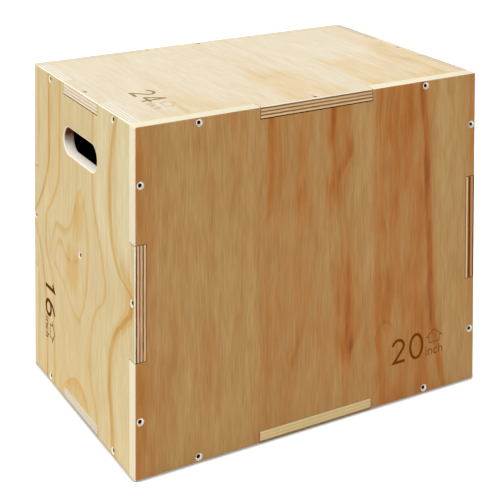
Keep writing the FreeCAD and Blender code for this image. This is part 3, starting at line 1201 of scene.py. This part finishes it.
def make_screws():
    """All the screws as one piece."""
    nodes, places, directions = [], [], []
    for side, face in FACES.items():
        for node in screw_nodes(side):
            nodes.append(node)
            places.append(face.point(screw_place(side, node), SCREW_SINK))
            directions.extend(face.outward)
    heads = bpy.data.meshes.new("screw_heads")
    heads.from_pydata(places, [], [])
    heads.attributes.new("outward", "FLOAT_VECTOR", "POINT").data.foreach_set("vector", directions)
    piece = add_object("assembly_screws", heads)
    modifier = piece.modifiers.new("screws", "NODES")
    tree = screw_tree(new_material("zinc_plate", zinc_look))
    modifier.node_group = tree
    for item in tree.interface.items_tree:
        if item.name in SCREW_SIZES:
            modifier[item.identifier] = SCREW_SIZES[item.name] * MM
    graph = bpy.context.evaluated_depsgraph_get()
    mesh = bpy.data.meshes.new_from_object(piece.evaluated_get(graph), preserve_all_data_layers=True,
                                           depsgraph=graph)
    piece.modifiers.remove(modifier)
    piece.data = mesh
    mesh.name = "assembly_screws"
    mesh.shade_smooth()
    mesh.set_sharp_from_angle(angle=SHARP_EDGE)
    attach(piece, "root")
    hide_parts(*nodes)


# Studio

def photo_camera():
    """The photograph's camera. Its picture plane stands upright, as a view camera's does, so upright edges
    stay parallel while it looks down on the box."""
    yaw, pitch, roll = (math.radians(turn) for turn in (CAMERA_YAW, CAMERA_PITCH, CAMERA_ROLL))
    level = Vector((math.sin(yaw) * math.cos(pitch), math.cos(yaw) * math.cos(pitch), -math.sin(pitch)))
    plumb_right = Vector((math.cos(yaw), -math.sin(yaw), 0))
    right = plumb_right * math.cos(roll) + plumb_right.cross(level) * math.sin(roll)
    up = right.cross(level)
    aside, below = ((PHOTO_PIXELS / 2 - pixel) / FOCAL_PIXELS for pixel in SIGHT_PIXEL)
    middle_ray = level + right * aside - up * below
    axes = Matrix((right, up, -middle_ray.normalized())).transposed().to_4x4()
    axes.translation = Vector(CAMERA_EYE) * MM
    data = bpy.data.cameras.new("camera")
    data.sensor_width = SENSOR
    data.lens = FOCAL_PIXELS * middle_ray.length / PHOTO_PIXELS * SENSOR
    camera = add_object("camera", data)
    stand = add_object("camera_stand", None)
    camera.parent = stand
    camera.matrix_parent_inverse = axes
    bpy.context.scene.camera = camera


def shown_ray(start):
    """1 for rays that show the backdrop: straight to the camera, mirrored or passed through."""
    path = start.node("ShaderNodeLightPath", output="Is Camera Ray")
    return path.most(path.other("Is Glossy Ray")).most(path.other("Is Transmission Ray"))


def studio_light():
    """A soft sky all round and one broad key light from the upper left."""
    scene = bpy.context.scene
    scene.view_settings.view_transform = "Standard"
    world = bpy.data.worlds.new("studio")
    scene.world = world
    start = emptied(world)
    sky = start.node("ShaderNodeBackground", {}, {"Color": WHITE, "Strength": SKY_LEVEL})
    white = start.node("ShaderNodeBackground", {}, {"Color": WHITE, "Strength": 1.0})
    mixed = start.node("ShaderNodeMixShader", {}, {0: shown_ray(start), 1: sky, 2: white})
    start.node("ShaderNodeOutputWorld", {}, {"Surface": mixed})
    sun = bpy.data.lights.new("key_light", "SUN")
    sun.energy = KEY_LEVEL * math.pi
    sun.angle = math.radians(KEY_SPREAD)
    key = add_object("key_light", sun)
    key.rotation_mode = "QUATERNION"
    key.rotation_quaternion = KEY_DIRECTION.to_track_quat("Z", "Y")


def studio_floor():
    """A pale floor that reads as white round the box and keeps its shadow, darkened further near the box by
    ambient occlusion as a painted contact shadow.
    """
    half, low = FLOOR_HALF * MM, -FLOOR_DROP * MM
    mesh = bpy.data.meshes.new("floor")
    mesh.from_pydata([(-half, -half, low), (half, -half, low), (half, half, low), (-half, half, low)], [],
                     [(0, 1, 2, 3)])
    floor = add_object("floor", mesh)
    material = bpy.data.materials.new("floor_white")
    start = emptied(material)
    plain = start.node("ShaderNodeBsdfDiffuse", {}, {"Color": FLOOR_GREY})
    # Painted contact shadow: ambient occlusion near the box darkens the floor's colour and glow
    open_sky = start.node("ShaderNodeAmbientOcclusion", {"samples": CONTACT_SAMPLES},
                          {"Distance": PAINTED_CONTACT_REACH * MM}, output="AO")
    level = open_sky.rise(*PAINTED_CONTACT_OPEN) * (1 - PAINTED_CONTACT_LEVEL) + PAINTED_CONTACT_LEVEL
    lit = start.node("ShaderNodeBsdfDiffuse", {}, {"Color": level})
    glow = start.node("ShaderNodeEmission", {}, {"Color": level, "Strength": FLOOR_GLOW})
    shown = start.node("ShaderNodeAddShader", {}, {0: lit, 1: glow})
    mixed = start.node("ShaderNodeMixShader", {}, {0: shown_ray(start), 1: plain, 2: shown})
    start.node("ShaderNodeOutputMaterial", {}, {"Surface": mixed})
    mesh.materials.append(material)


photo_camera()
studio_light()
studio_floor()
make_sheets()
make_brace()
make_screws()
